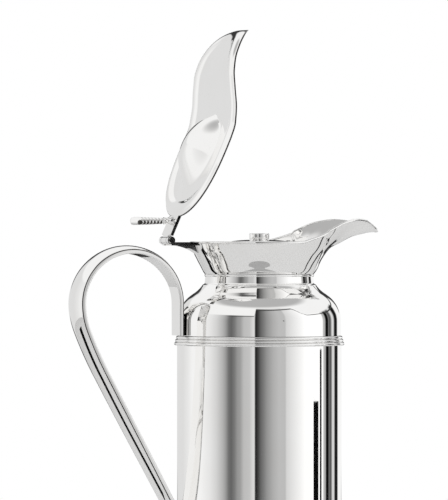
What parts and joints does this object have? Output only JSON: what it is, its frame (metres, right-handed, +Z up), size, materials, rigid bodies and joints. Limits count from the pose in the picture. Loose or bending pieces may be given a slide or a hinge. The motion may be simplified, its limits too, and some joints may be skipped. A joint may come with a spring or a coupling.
{
  "type": "insulated water pitcher",
  "caption": "Mirror-silver insulated pitcher with a hinged leaf-shaped lid, screw stopper, drawn-out spout, reeded band and strap handle around a vacuum flask.",
  "frame": {"origin": "body axis at the plane the foot ring rests on", "axes": "+Z up the body axis, +X out of the spout, handle and hinge towards -X, hinge pin along Y"},
  "size_m": [0.2146, 0.116, 0.3925],
  "materials": {
    "silver_plate": "mirror-polished silver plate on brass",
    "brass": "turned, unplated",
    "flask_glass": "glass silvered on its vacuum side",
    "grey_pad": "pressed fibre",
    "black_rubber": "matt",
    "dark_plastic": "moulded, fine matt"
  },
  "bodies": {
    "jug": {"body_shell": "silver_plate", "shoulder_shell": "silver_plate", "reeded_band": "silver_plate", "neck_bead": "silver_plate", "mouth_spout": "silver_plate", "handle_strap": "silver_plate", "hinge_bracket": "silver_plate", "hinge_pin": "silver_plate", "foot_ring": "silver_plate", "base_thread_ring": "brass", "flask_outer_glass": "flask_glass", "flask_inner_glass": "flask_glass", "flask_spacers": "grey_pad", "flask_cushion": "black_rubber", "neck_cushion": "black_rubber", "neck_gasket": "black_rubber", "pour_collar": "dark_plastic"},
    "lid": {"lid_plate": "silver_plate", "lid_leaf": "silver_plate", "thumbpiece": "silver_plate"},
    "seal": {"stopper_seal": "black_rubber"},
    "stopper": {"stopper_plug": "dark_plastic", "stopper_cap": "silver_plate", "stopper_knob": "silver_plate", "stopper_stud": "brass"},
    "gasket": {"base_gasket": "black_rubber"},
    "bottom_cap": {"base_cap": "dark_plastic"}
  },
  "joints": [
    {"name": "lid_hinge", "type": "hinge", "parent": "jug", "child": "lid", "pos_m": [-0.0646, 0, 0.251], "axis": [0, -1, 0], "range_deg": [-66.5, 20]},
    {"name": "stopper_lift", "type": "slide", "parent": "jug", "child": "seal", "axis": [0, 0, 1], "range_m": [0, 0.001]},
    {"name": "stopper_turn", "type": "hinge", "parent": "seal", "child": "stopper", "pos_m": [0, 0, 0.244], "axis": [0, 0, 1], "range_deg": [0, 180]},
    {"name": "cap_drop", "type": "slide", "parent": "jug", "child": "gasket", "axis": [0, 0, -1], "range_m": [0, 0.0012]},
    {"name": "cap_turn", "type": "hinge", "parent": "gasket", "child": "bottom_cap", "pos_m": [0, 0, 0.008], "axis": [0, 0, -1], "range_deg": [0, 180]}
  ],
  "couplings": [
    {"joint": "stopper_turn", "follows": "stopper_lift", "rad_per_m": 3141.6},
    {"joint": "cap_turn", "follows": "cap_drop", "rad_per_m": 2618}
  ]
}
